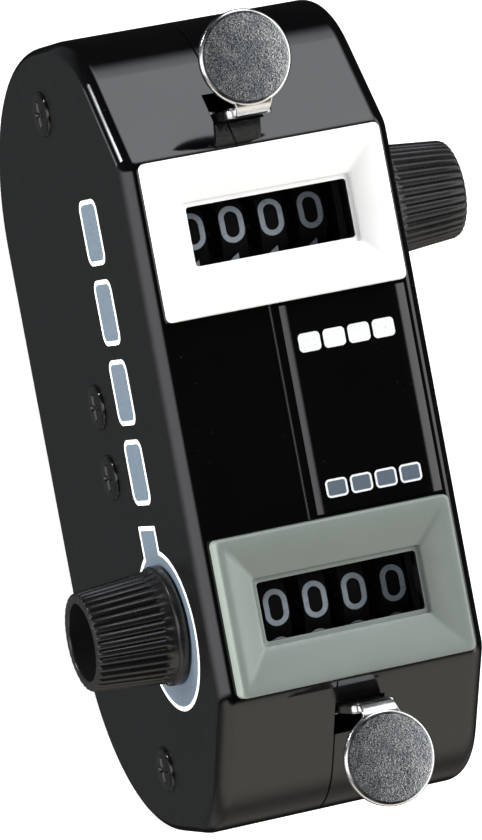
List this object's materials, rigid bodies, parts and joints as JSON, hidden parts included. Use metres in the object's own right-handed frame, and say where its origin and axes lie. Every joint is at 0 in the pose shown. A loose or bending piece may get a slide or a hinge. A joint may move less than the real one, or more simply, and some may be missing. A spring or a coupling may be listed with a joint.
{
  "type": "hand tally counter",
  "caption": "Pocket tally counter with two back-to-back digit counters in one black clamshell, each with a thumb lever, a framed window and a ribbed reset knob.",
  "frame": {"origin": "centre of the flat back face, which the counter lies on", "axes": "+Z out of the front face with the two windows, +Y along the housing towards the white counter, +X to the right seen from the front"},
  "size_m": [0.0644, 0.1096, 0.0622],
  "materials": {
    "housing_black": "high-gloss moulded black plastic",
    "bezel_white": "satin moulded white plastic",
    "bezel_grey": "satin moulded greenish grey plastic",
    "knob_black": "ribbed black plastic",
    "wheel_black": "matt black plastic with pale grey numerals",
    "pinion_natural": "dark acetal plastic",
    "thumb_nickel": "nickel plated, stippled centre, polished rim",
    "steel": "plain steel",
    "frame_steel": "blackened sheet steel",
    "screw_black": "black oxide steel"
  },
  "bodies": {
    "housing": {"left_shell": "housing_black", "right_shell": "housing_black", "housing_screws": "screw_black", "white_bezel": "bezel_white", "white_frame": "frame_steel", "white_pinion_shaft": "steel", "white_lever_pin": "steel", "white_hold_pawl_pin": "steel", "white_return_spring": "steel", "grey_bezel": "bezel_grey", "grey_frame": "frame_steel", "grey_pinion_shaft": "steel", "grey_lever_pin": "steel", "grey_hold_pawl_pin": "steel", "grey_return_spring": "steel"},
    "white_reset": {"white_wheel_shaft": "steel", "white_reset_knob": "knob_black"},
    "white_units": {"white_units_wheel": "wheel_black", "white_ratchet": "steel"},
    "white_tens": {"white_tens_wheel": "wheel_black"},
    "white_tens_carry": {"white_tens_pinion": "pinion_natural"},
    "white_hundreds": {"white_hundreds_wheel": "wheel_black"},
    "white_hundreds_carry": {"white_hundreds_pinion": "pinion_natural"},
    "white_thousands": {"white_thousands_wheel": "wheel_black"},
    "white_thousands_carry": {"white_thousands_pinion": "pinion_natural"},
    "white_lever": {"white_lever_yoke": "frame_steel", "white_lever_rivets": "steel", "white_thumb_lever": "thumb_nickel", "white_drive_pawl_pin": "steel"},
    "white_drive_pawl": {"white_drive_pawl": "steel"},
    "white_hold_pawl": {"white_hold_pawl": "steel"},
    "grey_reset": {"grey_wheel_shaft": "steel", "grey_reset_knob": "knob_black"},
    "grey_units": {"grey_units_wheel": "wheel_black", "grey_ratchet": "steel"},
    "grey_tens": {"grey_tens_wheel": "wheel_black"},
    "grey_tens_carry": {"grey_tens_pinion": "pinion_natural"},
    "grey_hundreds": {"grey_hundreds_wheel": "wheel_black"},
    "grey_hundreds_carry": {"grey_hundreds_pinion": "pinion_natural"},
    "grey_thousands": {"grey_thousands_wheel": "wheel_black"},
    "grey_thousands_carry": {"grey_thousands_pinion": "pinion_natural"},
    "grey_lever": {"grey_lever_yoke": "frame_steel", "grey_lever_rivets": "steel", "grey_thumb_lever": "thumb_nickel", "grey_drive_pawl_pin": "steel"},
    "grey_drive_pawl": {"grey_drive_pawl": "steel"},
    "grey_hold_pawl": {"grey_hold_pawl": "steel"}
  },
  "joints": [
    {"name": "white_reset_turn", "type": "hinge", "parent": "housing", "child": "white_reset", "pos_m": [0, 0.02545, 0.0416], "axis": [1, 0, 0], "continuous": true},
    {"name": "white_units_turn", "type": "hinge", "parent": "housing", "child": "white_units", "pos_m": [0, 0.02545, 0.0416], "axis": [-1, 0, 0], "continuous": true},
    {"name": "white_tens_turn", "type": "hinge", "parent": "housing", "child": "white_tens", "pos_m": [0, 0.02545, 0.0416], "axis": [-1, 0, 0], "continuous": true},
    {"name": "white_tens_carry_turn", "type": "hinge", "parent": "housing", "child": "white_tens_carry", "pos_m": [0, 0.02545, 0.029], "axis": [-1, 0, 0], "continuous": true},
    {"name": "white_hundreds_turn", "type": "hinge", "parent": "housing", "child": "white_hundreds", "pos_m": [0, 0.02545, 0.0416], "axis": [-1, 0, 0], "continuous": true},
    {"name": "white_hundreds_carry_turn", "type": "hinge", "parent": "housing", "child": "white_hundreds_carry", "pos_m": [0, 0.02545, 0.029], "axis": [-1, 0, 0], "continuous": true},
    {"name": "white_thousands_turn", "type": "hinge", "parent": "housing", "child": "white_thousands", "pos_m": [0, 0.02545, 0.0416], "axis": [-1, 0, 0], "continuous": true},
    {"name": "white_thousands_carry_turn", "type": "hinge", "parent": "housing", "child": "white_thousands_carry", "pos_m": [0, 0.02545, 0.029], "axis": [-1, 0, 0], "continuous": true},
    {"name": "white_lever_press", "type": "hinge", "parent": "housing", "child": "white_lever", "pos_m": [0, 0.011, 0.0445], "axis": [-1, 0, 0], "range_deg": [0, 10], "stiffness_Nm_per_rad": 0.25, "springref_deg": -14.32, "deforming": ["white_return_spring"]},
    {"name": "white_drive_pawl_swing", "type": "hinge", "parent": "white_lever", "child": "white_drive_pawl", "pos_m": [0, 0.0345, 0.0479], "axis": [1, 0, 0], "range_deg": [0, 12], "stiffness_Nm_per_rad": 0.00001, "springref_deg": -22.92},
    {"name": "white_hold_pawl_swing", "type": "hinge", "parent": "housing", "child": "white_hold_pawl", "pos_m": [0, 0.0155, 0.036], "axis": [1, 0, 0], "range_deg": [0, 12], "stiffness_Nm_per_rad": 0.00001, "springref_deg": -22.92},
    {"name": "grey_reset_turn", "type": "hinge", "parent": "housing", "child": "grey_reset", "pos_m": [0, -0.02545, 0.0416], "axis": [-1, 0, 0], "continuous": true},
    {"name": "grey_units_turn", "type": "hinge", "parent": "housing", "child": "grey_units", "pos_m": [0, -0.02545, 0.0416], "axis": [1, 0, 0], "continuous": true},
    {"name": "grey_tens_turn", "type": "hinge", "parent": "housing", "child": "grey_tens", "pos_m": [0, -0.02545, 0.0416], "axis": [1, 0, 0], "continuous": true},
    {"name": "grey_tens_carry_turn", "type": "hinge", "parent": "housing", "child": "grey_tens_carry", "pos_m": [0, -0.02545, 0.029], "axis": [1, 0, 0], "continuous": true},
    {"name": "grey_hundreds_turn", "type": "hinge", "parent": "housing", "child": "grey_hundreds", "pos_m": [0, -0.02545, 0.0416], "axis": [1, 0, 0], "continuous": true},
    {"name": "grey_hundreds_carry_turn", "type": "hinge", "parent": "housing", "child": "grey_hundreds_carry", "pos_m": [0, -0.02545, 0.029], "axis": [1, 0, 0], "continuous": true},
    {"name": "grey_thousands_turn", "type": "hinge", "parent": "housing", "child": "grey_thousands", "pos_m": [0, -0.02545, 0.0416], "axis": [1, 0, 0], "continuous": true},
    {"name": "grey_thousands_carry_turn", "type": "hinge", "parent": "housing", "child": "grey_thousands_carry", "pos_m": [0, -0.02545, 0.029], "axis": [1, 0, 0], "continuous": true},
    {"name": "grey_lever_press", "type": "hinge", "parent": "housing", "child": "grey_lever", "pos_m": [0, -0.011, 0.0445], "axis": [1, 0, 0], "range_deg": [0, 10], "stiffness_Nm_per_rad": 0.25, "springref_deg": -14.32, "deforming": ["grey_return_spring"]},
    {"name": "grey_drive_pawl_swing", "type": "hinge", "parent": "grey_lever", "child": "grey_drive_pawl", "pos_m": [0, -0.0345, 0.0479], "axis": [-1, 0, 0], "range_deg": [0, 12], "stiffness_Nm_per_rad": 0.00001, "springref_deg": -22.92},
    {"name": "grey_hold_pawl_swing", "type": "hinge", "parent": "housing", "child": "grey_hold_pawl", "pos_m": [0, -0.0155, 0.036], "axis": [-1, 0, 0], "range_deg": [0, 12], "stiffness_Nm_per_rad": 0.00001, "springref_deg": -22.92}
  ],
  "couplings": [
    {"joint": "white_tens_turn", "follows": "white_units_turn", "ratio": 0.1},
    {"joint": "white_tens_carry_turn", "follows": "white_units_turn", "ratio": -0.25},
    {"joint": "white_hundreds_turn", "follows": "white_units_turn", "ratio": 0.01},
    {"joint": "white_hundreds_carry_turn", "follows": "white_units_turn", "ratio": -0.025},
    {"joint": "white_thousands_turn", "follows": "white_units_turn", "ratio": 0.001},
    {"joint": "white_thousands_carry_turn", "follows": "white_units_turn", "ratio": -0.0025},
    {"joint": "grey_tens_turn", "follows": "grey_units_turn", "ratio": 0.1},
    {"joint": "grey_tens_carry_turn", "follows": "grey_units_turn", "ratio": -0.25},
    {"joint": "grey_hundreds_turn", "follows": "grey_units_turn", "ratio": 0.01},
    {"joint": "grey_hundreds_carry_turn", "follows": "grey_units_turn", "ratio": -0.025},
    {"joint": "grey_thousands_turn", "follows": "grey_units_turn", "ratio": 0.001},
    {"joint": "grey_thousands_carry_turn", "follows": "grey_units_turn", "ratio": -0.0025}
  ]
}
